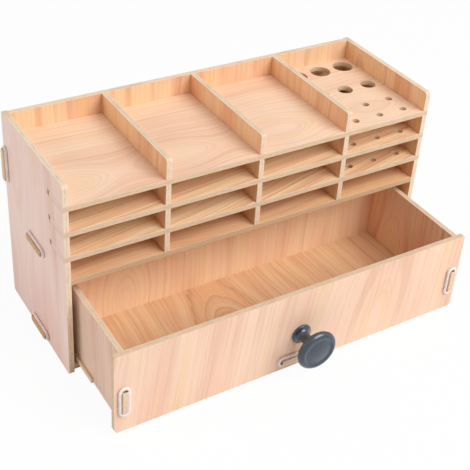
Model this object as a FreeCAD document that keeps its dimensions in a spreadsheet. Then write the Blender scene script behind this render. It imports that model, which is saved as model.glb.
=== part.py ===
import FreeCAD, Part
import math
import os
import Sketcher

# Desk storage box of flat slotted boards: four columns of shelves over one wide drawer.
# Frame: +Z up, front towards -Y, origin on the floor at the middle of the back panel's foot.
# Every board is drawn from the cabinet's front plane and then moved back by its placement.

DIMENSIONS = [
    ("board", 5, "thickness of every board"),
    ("cabinet_width", 360, "outer width over both side panels"),
    ("cabinet_depth", 130, "depth of a side panel"),
    ("cabinet_height", 192, "height of side panels, dividers and back panel"),
    ("back_rim", 3, "how far the side panels reach behind the back panel"),
    ("panel_round", 3, "corner radius of a side panel"),
    ("divider_round", 2, "radius of a divider's front top corner"),
    ("columns", 4, "columns of compartments"),
    ("top_shelf_height", 173, "upper face of the top shelf"),
    ("shelf_pitch", 24, "step from one shelf to the next"),
    ("ear_depth", 27, "depth of the ears that a shelf has at its front"),
    ("ear_slot_depth", 30.5, "depth of the slots for these ears in the side panels"),
    ("lap_depth", 61, "depth of the half laps of shelves and dividers"),
    ("base_height", 10, "upper face of the base board"),
    ("tab_from", 46, "front end of the tabs on the drawer ceiling and base board"),
    ("ceiling_tab", 31, "length of the drawer ceiling's side tabs"),
    ("base_tab", 31, "length of the base board's side tabs"),
    ("back_tab_from", 126.5, "lower end of the back panel's side tabs"),
    ("back_tab", 31, "length of the back panel's side tabs"),
    ("tab_out", 4, "how far a tab stands out of the face it goes through"),
    ("tab_hook", 2.2, "how far a tab's head hooks over the ring at each end"),
    ("tab_round", 1.2, "corner radius of a tab's end"),
    ("ring_depth", 2.6, "depth of an elastic ring, from the face it lies on"),
    ("tight_cord", 2.2, "width of the cord of a ring on a side panel"),
    ("loose_cord", 2.8, "width of the cord of a ring on the drawer front"),
    ("loose_play", 1.4, "how far a ring on the drawer front reaches beyond its neck"),
    ("ring_round", 1, "rounding of the cord"),
    ("tenon", 20, "length of the flush tenons in the back panel"),
    ("tenon_spread", 120, "distance of a flat board's tenons from the middle"),
    ("divider_tenon", 15, "length of a divider's tenon"),
    ("divider_tenon_from", 127, "lower end of a divider's tenon"),
    ("hole_columns", 3, "holes in one row"),
    ("hole_pitch", 27, "distance between holes in a row"),
    ("hole_first", 107, "first hole of a row, from the middle of the cabinet"),
    ("large_hole", 20, "diameter of the rear row of holes"),
    ("large_hole_back", 107, "distance of that row from the front"),
    ("medium_hole", 15, "diameter of the second row"),
    ("medium_hole_back", 66, "distance of that row from the front"),
    ("small_hole", 7, "diameter of the two front rows"),
    ("third_row_back", 34, "distance of the third row from the front"),
    ("front_row_back", 13, "distance of the front row from the front"),
    ("drawer_open", 75.3, "gap between drawer front and cabinet as photographed"),
    ("drawer_bottom_at", 10.5, "underside of the drawer box, clear of the base board"),
    ("drawer_height", 73.5, "height of the drawer box"),
    ("drawer_width", 340, "outer width of the drawer box"),
    ("drawer_length", 121, "length of a drawer side"),
    ("drawer_back_at", 114, "front face of the drawer back"),
    ("drawer_back_tab", 34, "height of the drawer back's side tabs"),
    ("drawer_back_tab_from", 32, "lower end of these tabs"),
    ("drawer_tab_out", 2, "how far tabs stand out of a drawer side"),
    ("bottom_tab_from", 48, "front end of the drawer bottom's side tabs"),
    ("bottom_tab", 35, "length of the drawer bottom's side tabs"),
    ("front_tab", 36, "length of the drawer bottom's tab through the drawer front"),
    ("side_tab_from", 25, "lower end of a drawer side's tab through the drawer front"),
    ("side_tab", 22, "length of that tab"),
    ("front_width", 352, "width of the drawer front"),
    ("front_bottom", 3, "lower edge of the drawer front"),
    ("front_height", 81, "height of the drawer front"),
    ("front_top_round", 2, "radius of the drawer front's upper corners"),
    ("front_low_round", 4, "radius of its lower corners"),
    ("knob_height", 38, "axis of the knob above the floor"),
    ("knob_flange_radius", 9.5, "foot of the knob against the drawer front"),
    ("knob_flange", 2, "thickness of the foot's edge"),
    ("knob_neck_radius", 4.8, "narrowest part of the knob"),
    ("knob_foot_round", 4.5, "hollow curve from foot to neck"),
    ("knob_back_round", 7, "hollow curve from neck to disc"),
    ("knob_disc_at", 20.8, "back of the knob's disc from the drawer front"),
    ("knob_disc_radius", 18.8, "radius of the disc"),
    ("knob_rim_at", 27.2, "front of the disc's rim from the drawer front"),
    ("knob_edge_round", 2.2, "rounding of the disc's back edge"),
    ("knob_shoulder_round", 4, "rounding of its front edge"),
    ("knob_ring_radius", 13.4, "inner radius of the rim"),
    ("knob_ring_depth", 0.8, "depth of the step inside the rim"),
    ("knob_length", 28, "top of the domed face from the drawer front"),
    ("screw_shank", 4, "diameter of the knob screw"),
    ("screw_reach", 17, "length of the screw under its head"),
    ("screw_head", 8, "diameter of the screw head"),
    ("screw_head_height", 2.6, "height of the screw head"),
    ("screw_head_round", 1.2, "rounding of the screw head"),
    ("screw_slot_arm", 2.2, "reach of one arm of the cross recess"),
    ("screw_slot_half", 0.5, "half the width of an arm"),
    ("screw_slot_depth", 1.3, "depth of the cross recess"),
    ("screw_clearance", 0.5, "how much wider the hole in the drawer front is"),
    ("thread_play", 0.1, "how much wider the hole in the knob is"),
    ("screw_gap", 1, "free depth of that hole beyond the screw's end"),
]

SHELF_LEVELS = {"top_shelf": 0, "middle_shelf": 1, "lower_shelf": 2}
DIVIDER_STEPS = {"left_divider": -1, "middle_divider": 0, "right_divider": 1}

HALF_WIDTH = "(dims.cabinet_width / 2)"
INNER_HALF = "(dims.cabinet_width / 2 - dims.board)"
TAB_HALF = "(dims.cabinet_width / 2 + dims.tab_out)"
NECK_HALF = "(dims.cabinet_width / 2 + dims.ring_depth)"
INNER_DEPTH = "(dims.cabinet_depth - dims.back_rim - dims.board)"
BACK_FACE = "(dims.cabinet_depth - dims.back_rim)"
CEILING_TOP = f"(dims.top_shelf_height - {len(SHELF_LEVELS)} * dims.shelf_pitch)"
DRAWER_HALF = "(dims.drawer_width / 2)"
DRAWER_INNER = "(dims.drawer_width / 2 - dims.board)"
DRAWER_TAB_HALF = "(dims.drawer_width / 2 + dims.drawer_tab_out)"
DRAWER_TOP = "(dims.drawer_bottom_at + dims.drawer_height)"
DRAWER_FLOOR = "(dims.drawer_bottom_at + dims.board)"
FRONT_TAB_END = "-(dims.board + dims.tab_out)"
FRONT_NECK_END = "-(dims.board + dims.ring_depth)"
CABINET_Y = f"-({INNER_DEPTH} + dims.board / 2)"
DRAWER_Y = f"{CABINET_Y} - dims.drawer_open"
FRONT_FACE_Y = f"{DRAWER_Y} - dims.board"

ALONG_X = FreeCAD.Vector(1, 0, 0)
ALONG_Y = FreeCAD.Vector(0, 1, 0)
ALONG_Z = FreeCAD.Vector(0, 0, 1)
BOTH_ENDS = [("XMin",), ("XMax",)]

doc = FreeCAD.newDocument("storage_box")
dims = doc.addObject("Spreadsheet::Sheet", "dims")
for row, (alias, number, meaning) in enumerate(DIMENSIONS, 1):
    dims.set(f"A{row}", meaning)
    dims.set(f"B{row}", str(number))
    dims.setAlias(f"B{row}", alias)
doc.recompute()


def shelf_top(level):
    """Height of a shelf's upper face, counted down from the top shelf."""
    return f"(dims.top_shelf_height - {level} * dims.shelf_pitch)"


def divider_middle(step):
    """Distance of a divider from the middle of the cabinet."""
    return f"({step} * (dims.cabinet_width - dims.board) / dims.columns)"


# Sketches bound to the sheet

def new_body(name, x="0", y="0", z="0"):
    """A body with its own name, placed by expressions."""
    body = doc.addObject("PartDesign::Body", name)
    body.Label = name
    for axis, place in (("x", x), ("y", y), ("z", z)):
        body.setExpression(f"Placement.Base.{axis}", place)
    return body


def new_sketch(body, plane, name):
    """An empty sketch on one of the body's own origin planes."""
    sketch = body.newObject("Sketcher::SketchObject", name)
    origin_plane = [part for part in body.Origin.OriginFeatures if part.Role == plane][0]
    sketch.AttachmentSupport = (origin_plane, [""])
    sketch.MapMode = "FlatFace"
    return sketch


def bind_point(sketch, geometry, point, across, up):
    """Fix a point of the sketch by two distances from the sketch's origin."""
    place = sketch.getPoint(geometry, point)
    for kind, start, size in (("DistanceX", place.x, across), ("DistanceY", place.y, up)):
        rule = Sketcher.Constraint(kind, -1, 1, geometry, point, start)
        index = sketch.addConstraint(rule)
        sketch.setExpression(f"Constraints[{index}]", size)


def draw_chain(sketch, points, closed=True):
    """Straight lines through points, each of them bound to the sheet."""
    first = sketch.GeometryCount
    corners = []
    for number in range(len(points)):
        # The corners start on a circle and their constraints carry them to their places.
        turn = 2 * math.pi * number / len(points)
        corners.append(FreeCAD.Vector(math.cos(turn), math.sin(turn), 0))
    lines = len(points) if closed else len(points) - 1
    for number in range(lines):
        line = Part.LineSegment(corners[number], corners[(number + 1) % len(points)])
        sketch.addGeometry(line, False)
    for number, (across, up) in enumerate(points[:lines]):
        bind_point(sketch, first + number, 1, across, up)
    for number in range(1, lines):
        rule = Sketcher.Constraint("Coincident", first + number - 1, 2, first + number, 1)
        sketch.addConstraint(rule)
    last = first + lines - 1
    if closed:
        sketch.addConstraint(Sketcher.Constraint("Coincident", last, 2, first, 1))
    else:
        bind_point(sketch, last, 2, *points[-1])
    return last


def with_mirror(corners):
    """Corners of the right half of an outline, followed by their mirror images."""
    return corners + [(f"-({across})", up) for across, up in reversed(corners)]


def draw_rectangle(sketch, left, right, low, high):
    """A rectangle between two distances across and two up."""
    draw_chain(sketch, [(left, low), (right, low), (right, high), (left, high)])


def draw_circle(sketch, across, up, diameter):
    """A circle whose middle and diameter are bound to the sheet."""
    circle = Part.Circle(FreeCAD.Vector(1, 1, 0), FreeCAD.Vector(0, 0, 1), 1)
    number = sketch.addGeometry(circle, False)
    bind_point(sketch, number, 3, across, up)
    index = sketch.addConstraint(Sketcher.Constraint("Diameter", number, 2.0))
    sketch.setExpression(f"Constraints[{index}]", diameter)


# Features of a board

def add_board(body, sketch, backwards=False, thickness="dims.board"):
    """Thicken an outline into a board."""
    pad = body.newObject("PartDesign::Pad", f"{body.Name}_pad")
    pad.Profile = sketch
    pad.Reversed = backwards
    pad.setExpression("Length", thickness)
    doc.recompute()


def add_cut(body, sketch, depth=None, backwards=True):
    """Cut the sketch out of the body, right through it where no depth is given."""
    before = body.Shape.Volume
    pocket = body.newObject("PartDesign::Pocket", f"{sketch.Name}_cut")
    pocket.Profile = sketch
    pocket.Reversed = backwards
    if depth:
        pocket.setExpression("Length", depth)
    else:
        pocket.Type = "ThroughAll"
    doc.recompute()
    if body.Shape.Volume > before - 1:
        raise RuntimeError(f"{pocket.Name} cuts nothing")
    return pocket


def add_turned(body, sketch):
    """Turn a profile about the sketch's vertical axis."""
    turned = body.newObject("PartDesign::Revolution", f"{body.Name}_turned")
    turned.Profile = sketch
    turned.ReferenceAxis = (sketch, ["V_Axis"])
    turned.Angle = 360
    doc.recompute()


def edges_on(feature, axis, corners):
    """Names of the edges along an axis that lie on given sides of the shape's box."""
    box = feature.Shape.BoundBox
    names = []
    for number, edge in enumerate(feature.Shape.Edges, 1):
        start = edge.Vertexes[0].Point
        run = edge.Vertexes[-1].Point - start
        if run.Length < 0.01 or abs(run.dot(axis)) < 0.999 * run.Length:
            continue
        for sides in corners:
            gaps = [abs(getattr(start, side[0].lower()) - getattr(box, side)) for side in sides]
            if max(gaps) < 0.001:
                names.append(f"Edge{number}")
    return names


def round_edges(body, names, radius, title):
    """Round named edges of the body's last feature."""
    last = body.Tip
    fillet = body.newObject("PartDesign::Fillet", f"{body.Name}_{title}")
    fillet.Base = (last, names)
    fillet.setExpression("Radius", radius)
    doc.recompute()


def front_slots(depth):
    """Corners of the slots for the three shelves, open to the front, from low to high."""
    corners = []
    for level in sorted(SHELF_LEVELS.values(), reverse=True):
        top = shelf_top(level)
        under = f"{top} - dims.board"
        corners += [("0", under), (depth, under), (depth, top), ("0", top)]
    return corners


def hooked_tab(start, face, neck, end, low, high):
    """Corners of a tab through a panel, with a neck for its ring and a hooked head."""
    first, last = f"{low} + dims.tab_hook", f"{high} - dims.tab_hook"
    return [(start, low), (face, low), (face, first), (neck, first), (neck, low), (end, low),
            (end, high), (neck, high), (neck, last), (face, last), (face, high), (start, high)]


# Side panels: upright boards with open slots for the shelf ears and closed slots for tabs

def make_side_panel(name, x):
    panel = new_body(name, x=x, y=CABINET_Y)
    outline = new_sketch(panel, "YZ_Plane", f"{name}_outline")
    corners = [("0", "0")] + front_slots("dims.ear_slot_depth")
    corners += [("0", "dims.cabinet_height"), ("dims.cabinet_depth", "dims.cabinet_height")]
    corners += [("dims.cabinet_depth", "0")]
    draw_chain(outline, corners)
    add_board(panel, outline)
    slots = new_sketch(panel, "YZ_Plane", f"{name}_slots")
    draw_rectangle(slots, "dims.tab_from", "dims.tab_from + dims.ceiling_tab",
                   f"{CEILING_TOP} - dims.board", CEILING_TOP)
    draw_rectangle(slots, "dims.tab_from", "dims.tab_from + dims.base_tab",
                   "dims.base_height - dims.board", "dims.base_height")
    draw_rectangle(slots, INNER_DEPTH, BACK_FACE,
                   "dims.back_tab_from", "dims.back_tab_from + dims.back_tab")
    add_cut(panel, slots)
    outer = [(deep, high) for deep in ("YMin", "YMax") for high in ("ZMin", "ZMax")]
    round_edges(panel, edges_on(panel.Tip, ALONG_X, outer), "dims.panel_round", "corners")
    return panel


# Back panel: stands between the side panels, held by one through tab on each side

def make_back_panel():
    panel = new_body("back_panel", y="-dims.board / 2")
    outline = new_sketch(panel, "XZ_Plane", "back_panel_outline")
    tab_top = "dims.back_tab_from + dims.back_tab"
    corners = [(INNER_HALF, "0")]
    corners += hooked_tab(INNER_HALF, HALF_WIDTH, NECK_HALF, TAB_HALF,
                          "dims.back_tab_from", tab_top)
    corners += [(INNER_HALF, "dims.cabinet_height")]
    draw_chain(outline, with_mirror(corners))
    add_board(panel, outline, backwards=True)
    slots = new_sketch(panel, "XZ_Plane", "back_panel_slots")
    for step in DIVIDER_STEPS.values():
        middle = divider_middle(step)
        draw_rectangle(slots, f"{middle} - dims.board / 2", f"{middle} + dims.board / 2",
                       "dims.divider_tenon_from", "dims.divider_tenon_from + dims.divider_tenon")
    for side in ("-1", "1"):
        middle = f"{side} * dims.tenon_spread"
        for top in (CEILING_TOP, "dims.base_height"):
            draw_rectangle(slots, f"{middle} - dims.tenon / 2", f"{middle} + dims.tenon / 2",
                           f"{top} - dims.board", top)
    add_cut(panel, slots, backwards=False)
    round_edges(panel, edges_on(panel.Tip, ALONG_Y, BOTH_ENDS), "dims.tab_round", "tab_ends")
    return panel


# Drawer ceiling and base board: flat boards with a through tab on each side

def make_flat_board(name, top, tab_length):
    board = new_body(name, y=CABINET_Y, z=f"{top} - dims.board")
    outline = new_sketch(board, "XY_Plane", f"{name}_outline")
    inside = "dims.tenon_spread - dims.tenon / 2"
    outside = "dims.tenon_spread + dims.tenon / 2"
    corners = [(INNER_HALF, "0")]
    corners += hooked_tab(INNER_HALF, HALF_WIDTH, NECK_HALF, TAB_HALF,
                          "dims.tab_from", f"dims.tab_from + {tab_length}")
    corners += [(INNER_HALF, INNER_DEPTH), (outside, INNER_DEPTH), (outside, BACK_FACE),
                (inside, BACK_FACE), (inside, INNER_DEPTH)]
    draw_chain(outline, with_mirror(corners))
    add_board(board, outline)
    round_edges(board, edges_on(board.Tip, ALONG_Z, BOTH_ENDS), "dims.tab_round", "tab_ends")
    return board


# Dividers: stand on the drawer ceiling, notched from the front where the shelves cross

def make_divider(name, step):
    divider = new_body(name, x=f"{divider_middle(step)} - dims.board / 2", y=CABINET_Y)
    outline = new_sketch(divider, "YZ_Plane", f"{name}_outline")
    tenon_top = "dims.divider_tenon_from + dims.divider_tenon"
    corners = [("0", CEILING_TOP)] + front_slots("dims.lap_depth")
    corners += [("0", "dims.cabinet_height"), (INNER_DEPTH, "dims.cabinet_height"),
                (INNER_DEPTH, tenon_top), (BACK_FACE, tenon_top),
                (BACK_FACE, "dims.divider_tenon_from"),
                (INNER_DEPTH, "dims.divider_tenon_from"), (INNER_DEPTH, CEILING_TOP)]
    draw_chain(outline, corners)
    add_board(divider, outline)
    front_top = edges_on(divider.Tip, ALONG_X, [("YMin", "ZMax")])
    round_edges(divider, front_top, "dims.divider_round", "corner")
    return divider


# Shelves: one board through all columns, with ears in front and laps from the back

def make_shelf(name, level):
    shelf = new_body(name, y=CABINET_Y, z=f"{shelf_top(level)} - dims.board")
    outline = new_sketch(shelf, "XY_Plane", f"{name}_outline")
    corners = [(f"-{HALF_WIDTH}", "0"), (HALF_WIDTH, "0"), (HALF_WIDTH, "dims.ear_depth"),
               (INNER_HALF, "dims.ear_depth"), (INNER_HALF, INNER_DEPTH)]
    for step in sorted(DIVIDER_STEPS.values(), reverse=True):
        right = f"{divider_middle(step)} + dims.board / 2"
        left = f"{divider_middle(step)} - dims.board / 2"
        corners += [(right, INNER_DEPTH), (right, "dims.lap_depth"),
                    (left, "dims.lap_depth"), (left, INNER_DEPTH)]
    corners += [(f"-{INNER_HALF}", INNER_DEPTH), (f"-{INNER_HALF}", "dims.ear_depth"),
                (f"-{HALF_WIDTH}", "dims.ear_depth")]
    draw_chain(outline, corners)
    add_board(shelf, outline)
    holes = new_sketch(shelf, "XY_Plane", f"{name}_holes")
    draw_circle(holes, "dims.hole_first", "dims.large_hole_back", "dims.large_hole")
    draw_circle(holes, "dims.hole_first", "dims.medium_hole_back", "dims.medium_hole")
    draw_circle(holes, "dims.hole_first", "dims.third_row_back", "dims.small_hole")
    draw_circle(holes, "dims.hole_first", "dims.front_row_back", "dims.small_hole")
    column = add_cut(shelf, holes)
    rows = shelf.newObject("PartDesign::LinearPattern", f"{name}_rows")
    rows.Originals = [column]
    rows.Direction = (holes, ["H_Axis"])
    rows.setExpression("Length", "(dims.hole_columns - 1) * dims.hole_pitch")
    rows.setExpression("Occurrences", "dims.hole_columns")
    shelf.Tip = rows
    doc.recompute()
    return shelf


# Drawer sides: a tab through the drawer front, a notch for the bottom, a slot for the back

def make_drawer_side(name, x):
    side = new_body(name, x=x, y=DRAWER_Y)
    outline = new_sketch(side, "YZ_Plane", f"{name}_outline")
    low = "dims.drawer_bottom_at"
    tab_top = "dims.side_tab_from + dims.side_tab"
    notch_back = "dims.bottom_tab_from + dims.bottom_tab"
    corners = [("0", low)]
    corners += hooked_tab("0", "-dims.board", FRONT_NECK_END, FRONT_TAB_END,
                          "dims.side_tab_from", tab_top)
    corners += [("0", DRAWER_TOP), ("dims.drawer_length", DRAWER_TOP),
                ("dims.drawer_length", low), (notch_back, low), (notch_back, DRAWER_FLOOR),
                ("dims.bottom_tab_from", DRAWER_FLOOR), ("dims.bottom_tab_from", low)]
    draw_chain(outline, corners)
    add_board(side, outline)
    slot = new_sketch(side, "YZ_Plane", f"{name}_slot")
    draw_rectangle(slot, "dims.drawer_back_at", "dims.drawer_back_at + dims.board",
                   "dims.drawer_back_tab_from", "dims.drawer_back_tab_from + dims.drawer_back_tab")
    add_cut(side, slot)
    round_edges(side, edges_on(side.Tip, ALONG_X, [("YMin",)]), "dims.tab_round", "tab_end")
    return side


# Drawer back: between the drawer sides, notched over the drawer bottom's rear tenon

def make_drawer_back():
    back = new_body("drawer_back", y=f"{DRAWER_Y} + dims.drawer_back_at")
    outline = new_sketch(back, "XZ_Plane", "drawer_back_outline")
    low = "dims.drawer_bottom_at"
    tab_low = "dims.drawer_back_tab_from"
    tab_high = "dims.drawer_back_tab_from + dims.drawer_back_tab"
    corners = [("dims.front_tab / 2", DRAWER_FLOOR), ("dims.front_tab / 2", low),
               (DRAWER_INNER, low), (DRAWER_INNER, tab_low), (DRAWER_TAB_HALF, tab_low),
               (DRAWER_TAB_HALF, tab_high), (DRAWER_INNER, tab_high), (DRAWER_INNER, DRAWER_TOP)]
    draw_chain(outline, with_mirror(corners))
    add_board(back, outline, backwards=True)
    round_edges(back, edges_on(back.Tip, ALONG_Y, BOTH_ENDS), "dims.tab_round", "tab_ends")
    return back


# Drawer bottom: tabs through both sides and the front, a flush tenon under the back

def make_drawer_bottom():
    bottom = new_body("drawer_bottom", y=DRAWER_Y, z="dims.drawer_bottom_at")
    outline = new_sketch(bottom, "XY_Plane", "drawer_bottom_outline")
    tab_back = "dims.bottom_tab_from + dims.bottom_tab"
    tenon_end = "dims.drawer_back_at + dims.board"
    neck = "dims.front_tab / 2 - dims.tab_hook"
    corners = [("dims.front_tab / 2", FRONT_TAB_END), ("dims.front_tab / 2", FRONT_NECK_END),
               (neck, FRONT_NECK_END), (neck, "-dims.board"),
               ("dims.front_tab / 2", "-dims.board"), ("dims.front_tab / 2", "0"),
               (DRAWER_INNER, "0"), (DRAWER_INNER, "dims.bottom_tab_from"),
               (DRAWER_TAB_HALF, "dims.bottom_tab_from"), (DRAWER_TAB_HALF, tab_back),
               (DRAWER_INNER, tab_back), (DRAWER_INNER, "dims.drawer_back_at"),
               ("dims.front_tab / 2", "dims.drawer_back_at"), ("dims.front_tab / 2", tenon_end)]
    draw_chain(outline, with_mirror(corners))
    add_board(bottom, outline)
    ends = edges_on(bottom.Tip, ALONG_Z, BOTH_ENDS + [("YMin",)])
    round_edges(bottom, ends, "dims.tab_round", "tab_ends")
    return bottom


# Drawer front: wider than the drawer box, slotted for three tabs and drilled for the knob

def make_drawer_front():
    front = new_body("drawer_front", y=f"{DRAWER_Y} - dims.board")
    outline = new_sketch(front, "XZ_Plane", "drawer_front_outline")
    draw_rectangle(outline, "-dims.front_width / 2", "dims.front_width / 2",
                   "dims.front_bottom", "dims.front_bottom + dims.front_height")
    add_board(front, outline, backwards=True)
    slots = new_sketch(front, "XZ_Plane", "drawer_front_slots")
    for inner, outer in ((f"-{DRAWER_INNER}", f"-{DRAWER_HALF}"), (DRAWER_INNER, DRAWER_HALF)):
        draw_rectangle(slots, inner, outer,
                       "dims.side_tab_from", "dims.side_tab_from + dims.side_tab")
    draw_rectangle(slots, "-dims.front_tab / 2", "dims.front_tab / 2",
                   "dims.drawer_bottom_at", DRAWER_FLOOR)
    draw_circle(slots, "0", "dims.knob_height", "dims.screw_shank + dims.screw_clearance")
    add_cut(front, slots, backwards=False)
    top = edges_on(front.Tip, ALONG_Y, [("XMin", "ZMax"), ("XMax", "ZMax")])
    round_edges(front, top, "dims.front_top_round", "upper_corners")
    low = edges_on(front.Tip, ALONG_Y, [("XMin", "ZMin"), ("XMax", "ZMin")])
    round_edges(front, low, "dims.front_low_round", "lower_corners")
    return front


# Knob: one turned piece with a foot, a narrow neck and a disc with a domed face

def round_rings(body, rings, radius, title):
    """Round the circular edges at given (radius, distance in front of the body's origin)."""
    names = []
    for number, edge in enumerate(body.Tip.Shape.Edges, 1):
        box = edge.BoundBox
        for ring, out in rings:
            if max(abs(box.XMax - ring), abs(box.YMin + out), abs(box.YMax + out)) < 0.01:
                names.append(f"Edge{number}")
    round_edges(body, names, radius, title)


def make_knob():
    knob = new_body("drawer_knob", y=FRONT_FACE_Y, z="dims.knob_height")
    profile = new_sketch(knob, "XY_Plane", "knob_profile")
    step_at = "-(dims.knob_rim_at - dims.knob_ring_depth)"
    points = [("0", "-dims.knob_length"), ("0", "0"), ("dims.knob_flange_radius", "0"),
              ("dims.knob_flange_radius", "-dims.knob_flange"),
              ("dims.knob_neck_radius", "-dims.knob_flange"),
              ("dims.knob_neck_radius", "-dims.knob_disc_at"),
              ("dims.knob_disc_radius", "-dims.knob_disc_at"),
              ("dims.knob_disc_radius", "-dims.knob_rim_at"),
              ("dims.knob_ring_radius", "-dims.knob_rim_at"),
              ("dims.knob_ring_radius", step_at)]
    last = draw_chain(profile, points, closed=False)
    # The domed face is an arc about a point on the knob's axis.
    ring = float(dims.knob_ring_radius)
    rise = float(dims.knob_length) - float(dims.knob_rim_at) + float(dims.knob_ring_depth)
    radius = (ring ** 2 + rise ** 2) / (2 * rise)
    middle = FreeCAD.Vector(0, radius - float(dims.knob_length), 0)
    circle = Part.Circle(middle, FreeCAD.Vector(0, 0, 1), radius)
    dome = Part.ArcOfCircle(circle, -math.pi / 2, math.asin(ring / radius) - math.pi / 2)
    arc = profile.addGeometry(dome, False)
    profile.addConstraint(Sketcher.Constraint("Coincident", arc, 1, last - len(points) + 2, 1))
    profile.addConstraint(Sketcher.Constraint("Coincident", arc, 2, last, 2))
    profile.addConstraint(Sketcher.Constraint("PointOnObject", arc, 3, -2))
    add_turned(knob, profile)
    neck, disc = float(dims.knob_neck_radius), float(dims.knob_disc_radius)
    flange, back = float(dims.knob_flange), float(dims.knob_disc_at)
    round_rings(knob, [(neck, flange)], "dims.knob_foot_round", "foot_round")
    round_rings(knob, [(neck, back)], "dims.knob_back_round", "back_round")
    round_rings(knob, [(disc, back)], "dims.knob_edge_round", "edge_round")
    round_rings(knob, [(disc, float(dims.knob_rim_at))], "dims.knob_shoulder_round",
                "shoulder_round")
    # Blind hole for the screw, drilled from the foot.
    mouth = new_sketch(knob, "XZ_Plane", "knob_hole")
    draw_circle(mouth, "0", "0", "dims.screw_shank + dims.thread_play")
    add_cut(knob, mouth, depth="dims.screw_reach - dims.board + dims.screw_gap")
    return knob


# Knob screw: pan head inside the drawer, shank through the drawer front into the knob

def make_screw():
    screw = new_body("knob_screw", y=DRAWER_Y, z="dims.knob_height")
    profile = new_sketch(screw, "XY_Plane", "screw_profile")
    head = "dims.screw_head / 2"
    shank = "dims.screw_shank / 2"
    draw_chain(profile, [("0", "-dims.screw_reach"), (shank, "-dims.screw_reach"), (shank, "0"),
                         (head, "0"), (head, "dims.screw_head_height"),
                         ("0", "dims.screw_head_height")])
    add_turned(screw, profile)
    round_rings(screw, [(float(dims.screw_head) / 2, -float(dims.screw_head_height))],
                "dims.screw_head_round", "head_round")
    cross = new_sketch(screw, "XZ_Plane", "screw_recess")
    arm, half = "dims.screw_slot_arm", "dims.screw_slot_half"
    quarter = [(arm, half), (half, half), (half, arm)]
    corners = quarter + [(f"-{across}", up) for across, up in reversed(quarter)]
    corners += [(f"-{across}", f"-{up}") for across, up in quarter]
    corners += [(across, f"-{up}") for across, up in reversed(quarter)]
    draw_chain(cross, corners)
    cross.setExpression("AttachmentOffset.Base.z", "-dims.screw_head_height")
    add_cut(screw, cross, depth="dims.screw_slot_depth")
    return screw


# Elastic rings: one round every hooked tab, against the face the tab comes out of

def draw_loop(sketch, half_length, radius, upright):
    """Two half circles joined by straight lines, about the sketch's origin."""
    place = FreeCAD.Placement()
    if upright:
        place.Rotation = FreeCAD.Rotation(ALONG_Z, 90)
    # The loop is drawn at a rough size and its constraints carry it to the real one.
    rough_half, rough_radius = 9, 3
    arcs = []
    for turn in (-1, 1):
        middle = place.multVec(FreeCAD.Vector(rough_half * turn, 0, 0))
        circle = Part.Circle(middle, ALONG_Z, rough_radius)
        start = (math.pi if upright else math.pi / 2) + (math.pi if turn > 0 else 0)
        arcs.append(sketch.addGeometry(Part.ArcOfCircle(circle, start, start + math.pi), False))
    lines = []
    for first, second in (arcs, arcs[::-1]):
        line = Part.LineSegment(sketch.getPoint(first, 2), sketch.getPoint(second, 1))
        lines.append(sketch.addGeometry(line, False))
        sketch.addConstraint(Sketcher.Constraint("Tangent", first, 2, lines[-1], 1))
        sketch.addConstraint(Sketcher.Constraint("Tangent", lines[-1], 2, second, 1))
    for arc, away in zip(arcs, (f"-({half_length})", half_length)):
        bind_point(sketch, arc, 3, *(("0", away) if upright else (away, "0")))
    sketch.addConstraint(Sketcher.Constraint("Equal", *arcs))
    index = sketch.addConstraint(Sketcher.Constraint("Radius", arcs[0], float(rough_radius)))
    sketch.setExpression(f"Constraints[{index}]", radius)


def make_ring(name, plane, place, straight, cord, upright, backwards=False):
    """A cord round a tab's neck: straight along both sides of it and round at both ends."""
    ring = new_body(name, *place)
    outline = new_sketch(ring, plane, f"{name}_outline")
    draw_loop(outline, straight, "dims.board / 2", upright)
    draw_loop(outline, straight, f"dims.board / 2 + {cord}", upright)
    add_board(ring, outline, backwards, "dims.ring_depth")
    names = []
    for number, edge in enumerate(ring.Tip.Shape.Edges, 1):
        box = edge.BoundBox
        thickness = box.XLength if plane == "YZ_Plane" else box.YLength
        if thickness < 0.01:
            names.append(f"Edge{number}")
    round_edges(ring, names, "dims.ring_round", "cord")
    return ring


def make_side_rings(side, x):
    """The three rings on the outer face of one side panel, stretched tight."""
    rings = []
    for label, y, z, tab, upright in (
            ("back", "0", "dims.back_tab_from + dims.back_tab / 2", "dims.back_tab", True),
            ("ceiling", f"{CABINET_Y} + dims.tab_from + dims.ceiling_tab / 2",
             f"{CEILING_TOP} - dims.board / 2", "dims.ceiling_tab", False),
            ("base", f"{CABINET_Y} + dims.tab_from + dims.base_tab / 2",
             "dims.base_height - dims.board / 2", "dims.base_tab", False)):
        rings.append(make_ring(f"{side}_{label}_ring", "YZ_Plane", (x, y, z),
                               f"({tab} / 2 - dims.tab_hook)", "dims.tight_cord",
                               upright, backwards=side == "left"))
    return rings


def make_front_rings():
    """The three rings on the drawer front, a little loose at their ends."""
    out = "(dims.drawer_width / 2 - dims.board / 2)"
    high = "dims.side_tab_from + dims.side_tab / 2"
    low = "dims.drawer_bottom_at + dims.board / 2"
    rings = []
    for label, x, z, tab, upright in (
            ("left", f"-{out}", high, "dims.side_tab", True),
            ("right", out, high, "dims.side_tab", True),
            ("bottom", "0", low, "dims.front_tab", False)):
        rings.append(make_ring(f"drawer_{label}_ring", "XZ_Plane", (x, FRONT_FACE_Y, z),
                               f"({tab} / 2 - dims.tab_hook + dims.loose_play)",
                               "dims.loose_cord", upright))
    return rings


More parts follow.
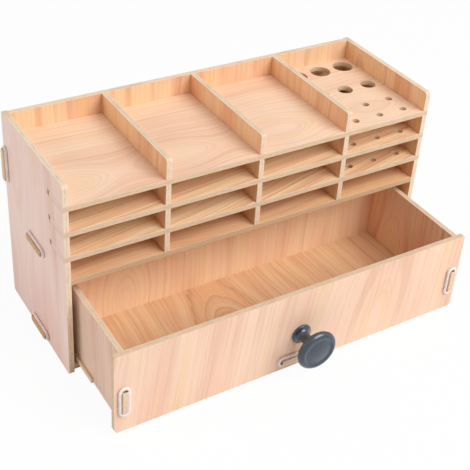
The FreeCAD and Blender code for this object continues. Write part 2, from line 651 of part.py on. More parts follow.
parts = [
    make_side_panel("left_side_panel", f"-{HALF_WIDTH}"),
    make_side_panel("right_side_panel", INNER_HALF),
    make_back_panel(),
    make_flat_board("drawer_ceiling", CEILING_TOP, "dims.ceiling_tab"),
    make_flat_board("base_board", "dims.base_height", "dims.base_tab"),
]
parts += [make_divider(name, step) for name, step in DIVIDER_STEPS.items()]
parts += [make_shelf(name, level) for name, level in SHELF_LEVELS.items()]
parts += [
    make_drawer_front(),
    make_drawer_side("drawer_left_side", f"-{DRAWER_HALF}"),
    make_drawer_side("drawer_right_side", DRAWER_INNER),
    make_drawer_back(),
    make_drawer_bottom(),
    make_knob(),
    make_screw(),
]
parts += make_side_rings("left", f"-{HALF_WIDTH}")
parts += make_side_rings("right", HALF_WIDTH)
parts += make_front_rings()
doc.recompute()

# Every feature has to be sound before anything is written
for item in doc.Objects:
    if "Invalid" in item.State or "Error" in item.State:
        raise RuntimeError(f"{item.Name} failed: {item.State}")
for part in parts:
    if part.Shape.isNull() or not part.Shape.isValid() or len(part.Shape.Solids) != 1:
        raise RuntimeError(f"{part.Label} is not one sound solid")

os.makedirs("parts", exist_ok=True)
for part in parts:
    part.Shape.exportStep(f"parts/{part.Label}.step")
    box = part.Shape.BoundBox
    low = f"{box.XMin:.1f} {box.YMin:.1f} {box.ZMin:.1f}"
    high = f"{box.XMax:.1f} {box.YMax:.1f} {box.ZMax:.1f}"
    print(f"{part.Label}: {low} to {high}, {part.Shape.Volume / 1000:.1f} cm3")
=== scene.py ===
import math

import bmesh
import bpy
from mathutils import Matrix, Vector


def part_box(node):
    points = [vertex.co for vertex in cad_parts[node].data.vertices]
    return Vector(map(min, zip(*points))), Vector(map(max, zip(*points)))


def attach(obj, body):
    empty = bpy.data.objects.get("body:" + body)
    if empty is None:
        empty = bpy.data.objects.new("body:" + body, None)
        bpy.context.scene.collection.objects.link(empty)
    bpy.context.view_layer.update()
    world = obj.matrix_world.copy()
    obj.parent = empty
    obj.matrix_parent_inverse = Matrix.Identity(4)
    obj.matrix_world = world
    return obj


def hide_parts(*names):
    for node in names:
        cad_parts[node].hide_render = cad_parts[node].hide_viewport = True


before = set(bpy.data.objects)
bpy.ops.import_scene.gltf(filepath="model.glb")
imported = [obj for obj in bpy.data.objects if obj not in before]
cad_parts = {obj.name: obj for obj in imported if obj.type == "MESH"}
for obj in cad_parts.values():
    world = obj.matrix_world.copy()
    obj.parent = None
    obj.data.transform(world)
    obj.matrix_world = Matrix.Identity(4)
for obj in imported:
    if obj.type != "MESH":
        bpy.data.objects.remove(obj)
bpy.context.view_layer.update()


# Side panels
# Two upright fibreboard sheets, faced on both sides with a peach wood print whose grain runs up.
# Every board of the box is cut from the same sheet, so its print, its bare cut edge and its eased
# corners are made here once. The side panels hold the ears and tabs of all the other boards.

BOARD = 0.005
EASING = 0.0003
SAME_POINT = 0.000001
SLIVER = 0.00002
FLAT = math.radians(1)
CORNER = math.radians(30)
HEART_SWAY = 0.022
EYE_REACH = 0.045

# The turns that lay the print's grain along a board and its depth through the board.
GRAIN_UP_SIDEWAYS = (0.0, -math.pi / 2, 0.0)

PEACH = (0.93, 0.66, 0.43, 1.0)
# A paler, pinker peach whose tint is painted reflection: the white room's sheen on the left panel.
REFLECTION_PALED_PEACH = (0.95, 0.71, 0.62, 1.0)
ORANGE_PEACH = (0.90, 0.58, 0.34, 1.0)
ROSE = (0.93, 0.78, 0.76, 1.0)
STRAW = (0.98, 0.97, 0.78, 1.0)
TAN = (0.83, 0.70, 0.57, 1.0)
GRAIN_LINE = (0.62, 0.44, 0.31, 1.0)
FIBRE_CORE = (0.50, 0.42, 0.32, 1.0)
FIBRE_RIM = (0.93, 0.76, 0.58, 1.0)
FIBRE_SANDED = (0.88, 0.66, 0.54, 1.0)
FIBRE_DULL = (0.62, 0.40, 0.23, 1.0)


def new_group(name, inputs, outputs):
    """A shader node group with named sockets, and its two end nodes."""
    group = bpy.data.node_groups.new(name, "ShaderNodeTree")
    for title, kind, value in inputs:
        socket = group.interface.new_socket(name=title, in_out="INPUT", socket_type=kind)
        if value is not None:
            socket.default_value = value
    for title, kind in outputs:
        group.interface.new_socket(name=title, in_out="OUTPUT", socket_type=kind)
    return group, group.nodes.new("NodeGroupInput"), group.nodes.new("NodeGroupOutput")


def wire(tree, socket, value):
    """Join an output to a socket, or set the socket to a plain value."""
    if isinstance(value, bpy.types.NodeSocket):
        tree.links.new(value, socket)
    else:
        socket.default_value = value


def calculated(tree, operation, first, second=0.0, third=0.0):
    """The result of one Math node."""
    node = tree.nodes.new("ShaderNodeMath")
    node.operation = operation
    for socket, value in zip(node.inputs, (first, second, third)):
        wire(tree, socket, value)
    return node.outputs["Value"]


def even_noise(tree, place, scale, detail, roughness=0.5):
    """Noise that has so many spots in a metre every way."""
    noise = tree.nodes.new("ShaderNodeTexNoise")
    wire(tree, noise.inputs["Vector"], place)
    wire(tree, noise.inputs["Scale"], scale)
    noise.inputs["Detail"].default_value = detail
    noise.inputs["Roughness"].default_value = roughness
    return noise.outputs["Fac"]


def stretched_noise(tree, along, across, sheet, detail, roughness=0.5):
    """Noise read at three numbers, so that it can be drawn out along the grain."""
    place = tree.nodes.new("ShaderNodeCombineXYZ")
    for socket, value in zip(place.inputs, (along, across, sheet)):
        wire(tree, socket, value)
    return even_noise(tree, place.outputs["Vector"], 1.0, detail, roughness)


def spread(tree, value, low, high, floor=0.0, ceiling=1.0):
    """Map the range from low to high smoothly onto the range from floor to ceiling."""
    node = tree.nodes.new("ShaderNodeMapRange")
    node.interpolation_type = "SMOOTHSTEP"
    wire(tree, node.inputs["Value"], value)
    node.inputs["From Min"].default_value = low
    node.inputs["From Max"].default_value = high
    wire(tree, node.inputs["To Min"], floor)
    wire(tree, node.inputs["To Max"], ceiling)
    return node.outputs["Result"]


def blended(tree, amount, first, second, mode="MIX"):
    """Two colours mixed by an amount."""
    node = tree.nodes.new("ShaderNodeMix")
    node.data_type = "RGBA"
    node.blend_type = mode
    wire(tree, node.inputs["Factor"], amount)
    wire(tree, node.inputs["A"], first)
    wire(tree, node.inputs["B"], second)
    return node.outputs["Result"]


def make_wood_print():
    """The printed grain: streaks and thin lines that bend round the eyes, and fine pores.

    Sheet picks the place on the printed sheet. Heart is the line of the eyes, Middle the place of
    one of them, Span twice their distance, Bow how far the grain bends round them and Lean how far
    they open to one side. Slant turns the grain. Bands and Rings are how many streaks and growth
    rings lie in a metre, and Streaks, Lines and Threads how strongly each kind shows.
    """
    tree, given, made = new_group(
        "wood print",
        [
            ("Place", "NodeSocketVector", None),
            ("Base", "NodeSocketColor", PEACH),
            ("Sheet", "NodeSocketFloat", 0.0),
            ("Heart", "NodeSocketFloat", 0.0),
            ("Middle", "NodeSocketFloat", 0.0),
            ("Span", "NodeSocketFloat", 0.3),
            ("Bow", "NodeSocketFloat", 0.01),
            ("Lean", "NodeSocketFloat", 0.0),
            ("Slant", "NodeSocketFloat", 0.0),
            ("Bands", "NodeSocketFloat", 100.0),
            ("Streaks", "NodeSocketFloat", 0.5),
            ("Rings", "NodeSocketFloat", 190.0),
            ("Lines", "NodeSocketFloat", 0.5),
            ("Threads", "NodeSocketFloat", 0.1),
        ],
        [("Colour", "NodeSocketColor"), ("Sheen", "NodeSocketFloat"),
         ("Relief", "NodeSocketFloat")],
    )
    axes = tree.nodes.new("ShaderNodeSeparateXYZ")
    tree.links.new(given.outputs["Place"], axes.inputs["Vector"])
    along = axes.outputs["X"]
    across = calculated(tree, "MULTIPLY_ADD", along, given.outputs["Slant"], axes.outputs["Y"])
    sheet, streaks = given.outputs["Sheet"], given.outputs["Streaks"]

    def scaled(value, factor, offset=0.0):
        return calculated(tree, "MULTIPLY_ADD", value, factor, offset)

    # A noise's factors say how often it changes in a metre along the grain and across it.
    # Growth rings lie at equal distances from a heart line, which the face cuts at the eyes.
    sway = stretched_noise(tree, scaled(along, 4.0), scaled(across, 11.0), sheet, 1.0)
    side = calculated(tree, "SUBTRACT", across, given.outputs["Heart"])
    side = calculated(tree, "ADD", side, scaled(sway, HEART_SWAY, -HEART_SWAY / 2))
    turn = calculated(tree, "SUBTRACT", along, given.outputs["Middle"])
    turn = calculated(tree, "DIVIDE", scaled(turn, 2 * math.pi), given.outputs["Span"])
    depth = calculated(tree, "MULTIPLY", calculated(tree, "SINE", turn), given.outputs["Bow"])
    depth = calculated(tree, "MULTIPLY", depth, depth)
    reach = calculated(tree, "SQRT", calculated(tree, "MULTIPLY_ADD", side, side, depth))

    # The eyes are egg-shaped. Away from the heart line the grain runs straight again.
    near = spread(tree, calculated(tree, "ABSOLUTE", side), 0.0, EYE_REACH, 1.0, 0.0)
    lean = calculated(tree, "MULTIPLY", calculated(tree, "SINE", scaled(turn, 2.0)), near)
    reach = calculated(tree, "MULTIPLY_ADD", lean, given.outputs["Lean"], reach)
    reach = calculated(tree, "MAXIMUM", reach, 0.0)

    # Broad streaks run from rose to straw, narrower ones are tan.
    bands_at = calculated(tree, "MULTIPLY", reach, given.outputs["Bands"])
    broad = stretched_noise(tree, scaled(along, 6.0), scaled(bands_at, 0.4), sheet, 1.0)
    rose = calculated(tree, "MULTIPLY", spread(tree, broad, 0.38, 0.66), streaks)
    colour = blended(tree, rose, given.outputs["Base"], ROSE, "MULTIPLY")
    other_sheet = calculated(tree, "ADD", sheet, 5.0)
    bands = stretched_noise(tree, scaled(along, 4.0), bands_at, other_sheet, 2.0)
    straw = calculated(tree, "MULTIPLY", spread(tree, bands, 0.52, 0.30), streaks)
    colour = blended(tree, straw, colour, STRAW, "MULTIPLY")
    tan = calculated(tree, "MULTIPLY", spread(tree, bands, 0.47, 0.74), streaks)
    colour = blended(tree, tan, colour, TAN, "MULTIPLY")

    # A growth ring darkens towards its outer side. Some rings do so strongly, most hardly.
    ripple = stretched_noise(tree, scaled(along, 30.0), scaled(across, 80.0), sheet, 2.0)
    widths = stretched_noise(tree, scaled(reach, 70.0), 0.0, sheet, 1.0)
    years = calculated(tree, "MULTIPLY", reach, given.outputs["Rings"])
    years = calculated(tree, "MULTIPLY_ADD", widths, 3.5, years)
    years = calculated(tree, "MULTIPLY_ADD", ripple, 0.6, years)
    chance = tree.nodes.new("ShaderNodeTexWhiteNoise")
    chance.noise_dimensions = "1D"
    number = calculated(tree, "ADD", calculated(tree, "FLOOR", years), sheet)
    tree.links.new(number, chance.inputs["W"])
    weight = calculated(tree, "POWER", chance.outputs["Value"], 2.5)
    late = calculated(tree, "POWER", calculated(tree, "FRACT", years), 3.0)
    late = calculated(tree, "MULTIPLY", late, scaled(weight, 0.65, 0.3))
    late = calculated(tree, "MULTIPLY", late, spread(tree, reach, 0.002, 0.012))
    line = calculated(tree, "MULTIPLY", late, given.outputs["Lines"])
    colour = blended(tree, line, colour, GRAIN_LINE, "MULTIPLY")

    # Fibres and pores run along the grain over all of it.
    thread = stretched_noise(tree, scaled(along, 10.0), scaled(across, 420.0), sheet, 3.0, 0.65)
    shade = spread(tree, thread, 0.45, 0.78)
    shade = calculated(tree, "MULTIPLY", shade, given.outputs["Threads"])
    colour = blended(tree, shade, colour, GRAIN_LINE, "MULTIPLY")
    pores = stretched_noise(tree, scaled(along, 260.0), scaled(across, 2600.0), sheet, 1.0)
    pit = spread(tree, pores, 0.60, 0.78)
    colour = blended(tree, scaled(pit, 0.1), colour, GRAIN_LINE, "MULTIPLY")
    tree.links.new(colour, made.inputs["Colour"])
    tree.links.new(spread(tree, thread, 0.3, 0.7, 0.44, 0.54), made.inputs["Sheen"])
    relief = calculated(tree, "MULTIPLY_ADD", pit, -0.8, scaled(thread, 0.4))
    tree.links.new(relief, made.inputs["Relief"])
    return tree


def make_cut_edge():
    """The bare edge of a board: pressed fibre with a thin broken darker line in its middle.

    Ends that lie further out than Sanded are sanded flush.
    """
    tree, given, made = new_group(
        "cut edge",
        [("Place", "NodeSocketVector", None), ("Dull", "NodeSocketFloat", 0.3),
         ("Sanded", "NodeSocketFloat", 1.0)],
        [("Edge", "NodeSocketFloat"), ("Colour", "NodeSocketColor"),
         ("Relief", "NodeSocketFloat")],
    )
    axes = tree.nodes.new("ShaderNodeSeparateXYZ")
    tree.links.new(given.outputs["Place"], axes.inputs["Vector"])

    # Level goes through the board from minus a half to a half, and the print ends at its corners.
    level = calculated(tree, "DIVIDE", axes.outputs["Z"], BOARD)
    outer = calculated(tree, "MULTIPLY", calculated(tree, "ABSOLUTE", level), 2.0)
    edge = spread(tree, outer, 0.93, 0.985, 1.0, 0.0)

    place = given.outputs["Place"]
    fibres = even_noise(tree, place, 1300.0, 3.0)
    drift = even_noise(tree, place, 75.0, 3.0)
    dashes = even_noise(tree, place, 190.0, 1.0)
    clouds = even_noise(tree, place, 24.0, 2.0)
    colour = blended(tree, given.outputs["Dull"], FIBRE_RIM, FIBRE_DULL)
    singed = spread(tree, clouds, 0.45, 0.7, 0.0, 0.35)
    colour = blended(tree, singed, colour, FIBRE_DULL)

    # The dark line wanders between the faces and is broken into dashes.
    away = calculated(tree, "ADD", level, calculated(tree, "MULTIPLY_ADD", drift, 0.7, -0.35))
    away = calculated(tree, "ABSOLUTE", away)
    ragged = calculated(tree, "MULTIPLY_ADD", fibres, 0.24, away)
    core = spread(tree, ragged, 0.12, 0.26, 1.0, 0.0)
    shown = spread(tree, dashes, 0.42, 0.58, 0.1, 0.65)
    colour = blended(tree, calculated(tree, "MULTIPLY", core, shown), colour, FIBRE_CORE)
    colour = blended(tree, spread(tree, fibres, 0.55, 0.75, 0.0, 0.25), colour, FIBRE_CORE)

    # Ears end flush in their slots. These ends are sanded pale and show a dark joint below.
    ends = calculated(tree, "GREATER_THAN", calculated(tree, "ABSOLUTE", axes.outputs["X"]),
                      given.outputs["Sanded"])
    joint = spread(tree, level, -0.46, -0.26, 0.8, 0.0)
    flush = blended(tree, joint, FIBRE_SANDED, GRAIN_LINE)
    colour = blended(tree, ends, colour, flush)
    tree.links.new(edge, made.inputs["Edge"])
    tree.links.new(colour, made.inputs["Colour"])
    tree.links.new(fibres, made.inputs["Relief"])
    return tree


wood_print = make_wood_print()
cut_edge = make_cut_edge()


def new_material(name):
    """A material, its node tree and its shader."""
    material = bpy.data.materials.new(name)
    material.use_nodes = True
    return material, material.node_tree, material.node_tree.nodes["Principled BSDF"]


def add_relief(tree, shader, height, strength, distance):
    """Raise the surface where the height is more."""
    bump = tree.nodes.new("ShaderNodeBump")
    bump.inputs["Strength"].default_value = strength
    bump.inputs["Distance"].default_value = distance
    tree.links.new(height, bump.inputs["Height"])
    tree.links.new(bump.outputs["Normal"], shader.inputs["Normal"])


def board_finish(node, turn, dull=0.2, sanded=1.0, **print_values):
    """The material of one board. The print is centred on it and turned along its grain."""
    material, tree, shader = new_material(node.replace("_", " "))
    low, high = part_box(node)
    place = tree.nodes.new("ShaderNodeMapping")
    place.vector_type = "TEXTURE"
    place.inputs["Location"].default_value = (low + high) / 2
    place.inputs["Rotation"].default_value = turn
    coordinate = tree.nodes.new("ShaderNodeTexCoord")
    tree.links.new(coordinate.outputs["Object"], place.inputs["Vector"])
    grain = tree.nodes.new("ShaderNodeGroup")
    grain.node_tree = wood_print
    edge = tree.nodes.new("ShaderNodeGroup")
    edge.node_tree = cut_edge
    for group in (grain, edge):
        tree.links.new(place.outputs["Vector"], group.inputs["Place"])
    for title, value in print_values.items():
        grain.inputs[title.capitalize()].default_value = value
    edge.inputs["Dull"].default_value = dull
    edge.inputs["Sanded"].default_value = sanded
    colour = blended(tree, edge.outputs["Edge"], grain.outputs["Colour"], edge.outputs["Colour"])
    tree.links.new(colour, shader.inputs["Base Color"])
    rough = calculated(tree, "MULTIPLY_ADD", edge.outputs["Edge"], 0.3, grain.outputs["Sheen"])
    tree.links.new(rough, shader.inputs["Roughness"])
    relief = tree.nodes.new("ShaderNodeMix")
    tree.links.new(edge.outputs["Edge"], relief.inputs["Factor"])
    tree.links.new(grain.outputs["Relief"], relief.inputs["A"])
    tree.links.new(edge.outputs["Relief"], relief.inputs["B"])
    add_relief(tree, shader, relief.outputs["Result"], strength=0.35, distance=0.0001)
    return material


def finished_piece(shape, name, material):
    """An object at the origin, made of a shape and a material."""
    mesh = bpy.data.meshes.new(name)
    shape.to_mesh(mesh)
    shape.free()
    mesh.materials.append(material)
    piece = bpy.data.objects.new(name, mesh)
    bpy.context.scene.collection.objects.link(piece)
    return piece


def cut_board(node, body, material):
    """A board with eased edges, which stands for the CAD board."""
    shape = bmesh.new()
    shape.from_mesh(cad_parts[node].data)
    bmesh.ops.remove_doubles(shape, verts=shape.verts, dist=SAME_POINT)
    bmesh.ops.dissolve_limit(shape, angle_limit=FLAT, verts=shape.verts, edges=shape.edges)
    corners = [edge for edge in shape.edges
               if edge.is_convex and edge.calc_face_angle(0.0) > CORNER]
    bmesh.ops.bevel(shape, geom=corners, offset=EASING, offset_type="OFFSET", affect="EDGES",
                    segments=2, profile=0.5, material=-1, clamp_overlap=True)
    bmesh.ops.dissolve_degenerate(shape, dist=SLIVER, edges=shape.edges)
    board = finished_piece(shape, f"{node}_board", material)
    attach(board, body)
    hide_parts(node)


# The left panel's base is paled and pinked as painted reflection: it stands for the sheen of the
# white room on its outer face.
SIDE_PANEL_PRINTS = {
    "left_side_panel": dict(sheet=2.0, base=REFLECTION_PALED_PEACH, bands=45.0, streaks=0.65, lines=0.18,
                            threads=0.08),
    "right_side_panel": dict(sheet=7.0, base=ORANGE_PEACH, bands=110.0, streaks=0.9, lines=0.5,
                             threads=0.4),
}
for node, print_values in SIDE_PANEL_PRINTS.items():
    finish = board_finish(node, GRAIN_UP_SIDEWAYS, heart=0.033, middle=0.045, span=0.4, bow=0.02,
                          rings=150.0, **print_values)
    cut_board(node, "cabinet", finish)


# Back panel
# One sheet between the side panels, printed with the grain running up. A tab on each side goes
# through the side panels, and the other boards' tenons come through it flush.

GRAIN_UP_ACROSS = (math.pi / 2, -math.pi / 2, 0.0)

finish = board_finish("back_panel", GRAIN_UP_ACROSS, sheet=11.0, heart=0.107, middle=0.088,
                      bow=0.016, bands=100.0, streaks=0.8, lines=0.4, threads=0.15)
cut_board("back_panel", "cabinet", finish)


# Drawer ceiling and base board
# Two flat boards through the side panels: the floor of the lowest compartments, with its grain
# from side to side, and the board that the drawer slides on.

GRAIN_SIDEWAYS = (0.0, 0.0, 0.0)

for node, sheet in (("drawer_ceiling", 21.0), ("base_board", 25.0)):
    finish = board_finish(node, GRAIN_SIDEWAYS, sheet=sheet, base=ORANGE_PEACH, heart=-0.01,
                          span=0.5, bow=0.03, bands=140.0, streaks=0.7, lines=0.7, threads=0.2,
                          dull=0.95)
    cut_board(node, "cabinet", finish)


# Dividers
# Three boards that stand on the drawer ceiling, notched from the front for the shelves and held
# by a tenon each in the back panel. Their grain runs up.

for node, sheet in (("left_divider", 31.0), ("middle_divider", 34.0), ("right_divider", 37.0)):
    finish = board_finish(node, GRAIN_UP_SIDEWAYS, sheet=sheet, base=ORANGE_PEACH, heart=0.02,
                          middle=-0.1, span=0.5, bow=0.02, streaks=0.9, lines=0.4, threads=0.2,
                          dull=0.3)
    cut_board(node, "cabinet", finish)


# Shelves
# Three boards through all four columns, half lapped with the dividers. Their grain runs from side
# to side, with an open figure in each tray, and the right column is bored for pens.

PALE_PEACH = (0.98, 0.71, 0.52, 1.0)
BRIGHT_PEACH = (1.0, 0.75, 0.49, 1.0)

# The ears end flush in the side panels' front slots, just beyond this distance from the middle.
EAR_ENDS = 0.1797

# The trays' pale base is painted glare: it stands for the bright light on their up-facing floors.
TRAY_PRINT = dict(base=PALE_PEACH, bow=0.016, lean=0.006, bands=90.0, streaks=0.45, rings=230.0,
                  lines=0.6, threads=0.08)
SLOT_PRINT = dict(base=BRIGHT_PEACH, bow=0.01, bands=210.0, streaks=0.75, rings=240.0, lines=0.9,
                  threads=0.35)
SHELF_PRINTS = {
    "top_shelf": dict(sheet=41.0, heart=-0.032, **TRAY_PRINT),
    "middle_shelf": dict(sheet=47.0, heart=0.03, slant=-0.12, **SLOT_PRINT),
    "lower_shelf": dict(sheet=53.0, heart=0.04, slant=-0.22, **SLOT_PRINT),
}
for node, print_values in SHELF_PRINTS.items():
    finish = board_finish(node, GRAIN_SIDEWAYS, middle=-0.052, span=0.2, dull=0.6,
                          sanded=EAR_ENDS, **print_values)
    cut_board(node, "cabinet", finish)


# Drawer sides, back and bottom
# The drawer's box. Its sides and back have the grain running up, and its bottom has it from front
# to back, with a bold figure left of the middle.

GRAIN_BACKWARDS = (0.0, 0.0, math.pi / 2)

DUSKY_PEACH = (0.86, 0.62, 0.48, 1.0)
WARM_PEACH = (0.98, 0.72, 0.49, 1.0)
HONEY = (0.86, 0.595, 0.36, 1.0)

DRAWER_SIDE_PRINTS = {
    "drawer_left_side": dict(sheet=61.0, base=DUSKY_PEACH, streaks=0.6, lines=0.3, threads=0.2),
    "drawer_right_side": dict(sheet=63.0, base=PALE_PEACH, streaks=0.9, lines=0.5, threads=0.35),
}
for node, print_values in DRAWER_SIDE_PRINTS.items():
    finish = board_finish(node, GRAIN_UP_SIDEWAYS, heart=0.02, middle=-0.06, span=0.4, bow=0.02,
                          dull=0.45, **print_values)
    cut_board(node, "drawer", finish)

finish = board_finish("drawer_back", GRAIN_UP_ACROSS, sheet=71.0, base=WARM_PEACH, heart=0.108,
                      middle=-0.02, bow=0.022, bands=70.0, streaks=0.6, lines=0.35)
cut_board("drawer_back", "drawer", finish)

finish = board_finish("drawer_bottom", GRAIN_BACKWARDS, sheet=81.0, base=HONEY, heart=0.030,
                      middle=-0.003, span=0.26, bow=0.0257, bands=140.0, streaks=0.7,
                      rings=130.0, lines=0.8, threads=0.3)
cut_board("drawer_bottom", "drawer", finish)


# Drawer front
# A board wider and taller than the drawer's box, with the grain running up. The tabs of the sides
# and of the bottom come through it, and the knob is screwed to it.

# The front's base is paler than the other boards' peach as painted glare: it stands for the bright
# light on its face.
GLARE_PALED_PEACH = (0.94, 0.665, 0.50, 1.0)

finish = board_finish("drawer_front", GRAIN_UP_ACROSS, sheet=91.0, base=GLARE_PALED_PEACH, heart=-0.086,
                      middle=-0.02, bow=0.02, slant=0.12, bands=48.0, streaks=0.55, lines=0.3,
                      threads=0.25, dull=0.55)
cut_board("drawer_front", "drawer", finish)


# Knob
# One turned piece with a thin foot, a narrow neck and a domed disc, painted a dark blue grey. It
# is turned here about the axis that its CAD solid has.

KNOB_BLUE = (0.022, 0.028, 0.042, 1.0)
KNOB_GREY = (0.046, 0.056, 0.078, 1.0)
KNOB_STEPS = 64

# The outline from the foot's rim to the middle of the disc: radius and distance from the board.
KNOB_PROFILE = [
    (0.0090, 0.0000), (0.0095, 0.0005), (0.0095, 0.0015), (0.0090, 0.0020), (0.0066, 0.0029),
    (0.0053, 0.0046), (0.0049, 0.0066), (0.0048, 0.0100), (0.0048, 0.0138), (0.0053, 0.0165),
    (0.0068, 0.0188), (0.0090, 0.0203), (0.0118, 0.0208), (0.0166, 0.0208), (0.0180, 0.0214),
    (0.0188, 0.0230), (0.0187, 0.0240), (0.0183, 0.0252), (0.0172, 0.0264), (0.0158, 0.0271),
    (0.0146, 0.0272), (0.0138, 0.0271), (0.0134, 0.0266), (0.0129, 0.0264), (0.0100, 0.0270),
    (0.0068, 0.0275), (0.0034, 0.0279), (0.0000, 0.0280),
]


def make_speckle():
    """A fine unevenness between two colours and between two degrees of gloss."""
    tree, given, made = new_group(
        "fine speckle",
        [("Place", "NodeSocketVector", None), ("Scale", "NodeSocketFloat", 900.0),
         ("First", "NodeSocketColor", KNOB_BLUE), ("Second", "NodeSocketColor", KNOB_GREY),
         ("Glossy", "NodeSocketFloat", 0.30), ("Dull", "NodeSocketFloat", 0.42)],
        [("Colour", "NodeSocketColor"), ("Sheen", "NodeSocketFloat"),
         ("Relief", "NodeSocketFloat")],
    )
    spots = even_noise(tree, given.outputs["Place"], given.outputs["Scale"], 3.0)
    colour = blended(tree, spread(tree, spots, 0.35, 0.7), given.outputs["First"],
                     given.outputs["Second"])
    sheen = spread(tree, spots, 0.3, 0.7, given.outputs["Glossy"], given.outputs["Dull"])
    tree.links.new(colour, made.inputs["Colour"])
    tree.links.new(sheen, made.inputs["Sheen"])
    tree.links.new(spots, made.inputs["Relief"])
    return tree


fine_speckle = make_speckle()


def speckled_finish(name, raised, **speckle_values):
    """A material with the fine speckle, raised more or less strongly, and its shader."""
    material, tree, shader = new_material(name)
    coordinate = tree.nodes.new("ShaderNodeTexCoord")
    speckle = tree.nodes.new("ShaderNodeGroup")
    speckle.node_tree = fine_speckle
    tree.links.new(coordinate.outputs["Object"], speckle.inputs["Place"])
    for title, value in speckle_values.items():
        speckle.inputs[title.capitalize()].default_value = value
    tree.links.new(speckle.outputs["Colour"], shader.inputs["Base Color"])
    tree.links.new(speckle.outputs["Sheen"], shader.inputs["Roughness"])
    add_relief(tree, shader, speckle.outputs["Relief"], strength=raised, distance=0.00005)
    return material, shader


paint, shader = speckled_finish("knob paint", raised=0.2, scale=900.0, first=KNOB_BLUE,
                                second=KNOB_GREY, glossy=0.30, dull=0.42)
shader.inputs["Metallic"].default_value = 0.2
shader.inputs["Coat Weight"].default_value = 0.85
shader.inputs["Coat Roughness"].default_value = 0.1
shader.inputs["Coat Tint"].default_value = (0.80, 0.90, 1.0, 1.0)

knob_low, knob_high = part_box("drawer_knob")
knob_axis = (knob_low.z + knob_high.z) / 2
shape = bmesh.new()
outline = [shape.verts.new((radius, knob_high.y - out, knob_axis))
           for radius, out in KNOB_PROFILE]
for first, second in zip(outline, outline[1:]):
    shape.edges.new((first, second))
bmesh.ops.spin(shape, geom=shape.verts[:] + shape.edges[:], cent=(0.0, 0.0, knob_axis),
               axis=(0.0, 1.0, 0.0), angle=2 * math.pi, steps=KNOB_STEPS, use_merge=True)
bmesh.ops.remove_doubles(shape, verts=shape.verts, dist=SAME_POINT)
foot_rim = [edge for edge in shape.edges if edge.is_boundary]
bmesh.ops.contextual_create(shape, geom=foot_rim)
bmesh.ops.recalc_face_normals(shape, faces=shape.faces)
# Only the foot's flat back has more than four corners, and it isn't shaded round.
for face in shape.faces:
    face.smooth = len(face.verts) < 5
knob = finished_piece(shape, "turned_knob", paint)
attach(knob, "drawer")
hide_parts("drawer_knob")


# Knob screw
# A zinc-plated pan-head screw with a cross recess, driven from inside the drawer through its
# front into the knob. It is the CAD solid with a finish.

ZINC = (0.62, 0.62, 0.60, 1.0)
BRIGHT_ZINC = (0.80, 0.79, 0.76, 1.0)

zinc, shader = speckled_finish("zinc", raised=0.0, scale=1200.0, first=ZINC, second=BRIGHT_ZINC,
                               glossy=0.25, dull=0.4)
shader.inputs["Metallic"].default_value = 1.0
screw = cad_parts["knob_screw"]
screw.data.materials.clear()
screw.data.materials.append(zinc)


# Elastic rings
# Nine loops of pale silicone cord, stretched round the necks of the tabs that come through the
# side panels and the drawer front. They lie against the board and keep the tabs from slipping.

CORD_FACETS = 16
TURN_STEPS = 12
CORD_PALE = (0.93, 0.84, 0.82, 1.0)
CORD_PINK = (0.86, 0.75, 0.74, 1.0)

silicone, shader = speckled_finish("silicone cord", raised=0.25, scale=320.0, first=CORD_PALE,
                                   second=CORD_PINK, glossy=0.32, dull=0.48)
shader.inputs["Subsurface Weight"].default_value = 0.25
shader.inputs["Subsurface Radius"].default_value = (0.0012, 0.0010, 0.0010)


def elastic_ring(node, body):
    """A cord swept round a tab's neck, in a long loop that fills the box of the CAD ring."""
    low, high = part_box(node)
    middle, size = (low + high) / 2, high - low
    order = sorted(range(3), key=lambda axis: size[axis])
    depth, width, length = (size[axis] / 2 for axis in order)
    facing = Vector([float(axis == order[0]) for axis in range(3)])
    upwards = Vector([float(axis == order[2]) for axis in range(3)])
    sideways = upwards.cross(facing)

    # The cord fills the room between the neck, a board thick, and the ring's outside. Its section
    # stands at one end of a straight run, in the plane across that run.
    cord = (width - BOARD / 2) / 2
    straight = length - width
    start = middle + sideways * (width - cord) - upwards * straight
    across_run = Matrix((sideways, facing, upwards)).transposed().to_4x4()
    section = Matrix.Diagonal((cord, depth, 1.0, 1.0))
    shape = bmesh.new()
    bmesh.ops.create_circle(shape, segments=CORD_FACETS, radius=1.0, cap_ends=False,
                            matrix=Matrix.Translation(start) @ across_run @ section)
    ends = shape.edges[:]
    for turn in (1.0, -1.0):
        run = bmesh.ops.extrude_edge_only(shape, edges=ends)["geom"]
        bmesh.ops.translate(shape, vec=upwards * (2 * straight * turn),
                            verts=[item for item in run if isinstance(item, bmesh.types.BMVert)])
        ends = [item for item in run if isinstance(item, bmesh.types.BMEdge)
                and item.is_boundary]
        swept = bmesh.ops.spin(shape, geom=ends, cent=middle + upwards * (straight * turn),
                               axis=facing, angle=math.pi, steps=TURN_STEPS, use_merge=False)
        ends = [item for item in swept["geom_last"] if isinstance(item, bmesh.types.BMEdge)]
    bmesh.ops.remove_doubles(shape, verts=shape.verts, dist=SLIVER)
    bmesh.ops.recalc_face_normals(shape, faces=shape.faces)
    for face in shape.faces:
        face.smooth = True
    ring = finished_piece(shape, f"{node}_cord", silicone)
    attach(ring, body)
    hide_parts(node)


for side in ("left", "right"):
    for place in ("back", "ceiling", "base"):
        elastic_ring(f"{side}_{place}_ring", "cabinet")
for place in ("left", "right", "bottom"):
    elastic_ring(f"drawer_{place}_ring", "drawer")


# Floor
# A plain white sheet under the box, which ends outside the picture. It reads as white to the
# camera and keeps a faint shadow.

FLOOR_SIZE = 6.0
FLOOR_WHITE = (0.85, 0.85, 0.85, 1.0)
FLOOR_GLOW = 0.95


def seen_itself(tree):
    """One for rays that see a surface directly, mirrored or through glass, else nothing."""
    path = tree.nodes.new("ShaderNodeLightPath")
    seen = calculated(tree, "MAXIMUM", path.outputs["Is Camera Ray"],
                      path.outputs["Is Glossy Ray"])
    return calculated(tree, "MAXIMUM", seen, path.outputs["Is Transmission Ray"])


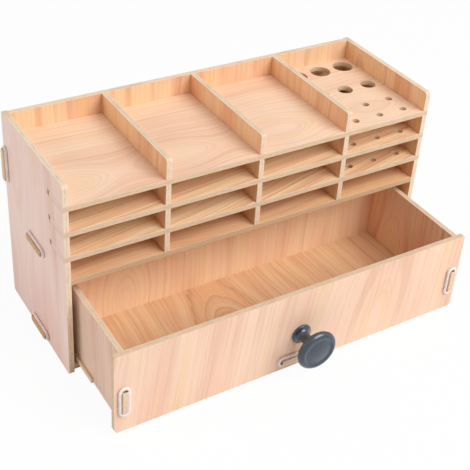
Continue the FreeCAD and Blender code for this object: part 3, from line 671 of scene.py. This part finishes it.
white_floor = bpy.data.materials.new("white floor")
white_floor.use_nodes = True
tree = white_floor.node_tree
tree.nodes.clear()
result = tree.nodes.new("ShaderNodeOutputMaterial")
matt = tree.nodes.new("ShaderNodeBsdfDiffuse")
matt.inputs["Color"].default_value = FLOOR_WHITE
glow = tree.nodes.new("ShaderNodeEmission")
mix = tree.nodes.new("ShaderNodeMixShader")
tree.links.new(calculated(tree, "MULTIPLY", seen_itself(tree), FLOOR_GLOW), mix.inputs["Fac"])
tree.links.new(matt.outputs["BSDF"], mix.inputs[1])
tree.links.new(glow.outputs["Emission"], mix.inputs[2])
tree.links.new(mix.outputs["Shader"], result.inputs["Surface"])

shape = bmesh.new()
bmesh.ops.create_grid(shape, x_segments=1, y_segments=1, size=FLOOR_SIZE)
floor = finished_piece(shape, "floor", white_floor)


# Lamps and room
# A large soft lamp in front, above and to the right, a weak one behind left, and an even white
# room round the box.

BOX_MIDDLE = Vector((0.0, -0.1, 0.1))
ROOM_LIGHT = 0.36


def soft_lamp(name, place, size, watts, colour):
    """A square lamp that points at the box."""
    lamp = bpy.data.lights.new(name, "AREA")
    lamp.shape = "SQUARE"
    lamp.size = size
    lamp.energy = watts
    lamp.color = colour
    holder = bpy.data.objects.new(name, lamp)
    bpy.context.scene.collection.objects.link(holder)
    aim = BOX_MIDDLE - Vector(place)
    holder.location = place
    holder.rotation_euler = aim.to_track_quat("-Z", "Y").to_euler()


soft_lamp("key lamp", (0.9, -1.6, 1.9), size=1.8, watts=56.0, colour=(1.0, 1.0, 1.0))
soft_lamp("side lamp", (-2.2, 0.7, 0.9), size=1.2, watts=15.0, colour=(1.0, 0.98, 1.0))

world = bpy.data.worlds.new("room")
bpy.context.scene.world = world
world.use_nodes = True
tree = world.node_tree
room = tree.nodes["Background"]
room.inputs["Color"].default_value = (1.0, 1.0, 1.0, 1.0)
strength = calculated(tree, "MULTIPLY_ADD", seen_itself(tree), 1.0 - ROOM_LIGHT, ROOM_LIGHT)
tree.links.new(strength, room.inputs["Strength"])


# Camera
# The photograph's view. Its place and angles come from the board corners in the picture, and the
# focal length and the shift are in pixels of that picture.

PICTURE_WIDTH = 470.0
FOCAL_LENGTH = 999.99
SHIFT_RIGHT = 5.36
SHIFT_UP = -44.57
SENSOR_WIDTH = 36.0
CAMERA_PLACE = (-0.4111, -0.7122, 0.6095)
CAMERA_YAW = 0.5746
CAMERA_PITCH = 0.5850
CAMERA_ROLL = 0.0682

camera = bpy.data.cameras.new("camera")
camera.sensor_width = SENSOR_WIDTH
camera.lens = SENSOR_WIDTH * FOCAL_LENGTH / PICTURE_WIDTH
camera.shift_x = SHIFT_RIGHT / PICTURE_WIDTH
camera.shift_y = SHIFT_UP / PICTURE_WIDTH
viewer = bpy.data.objects.new("camera", camera)
bpy.context.scene.collection.objects.link(viewer)
turned = (Matrix.Rotation(-CAMERA_YAW, 4, "Z")
          @ Matrix.Rotation(math.pi / 2 - CAMERA_PITCH, 4, "X")
          @ Matrix.Rotation(CAMERA_ROLL, 4, "Z"))
viewer.matrix_world = Matrix.Translation(CAMERA_PLACE) @ turned
bpy.context.scene.camera = viewer

bpy.context.scene.view_settings.view_transform = "Standard"
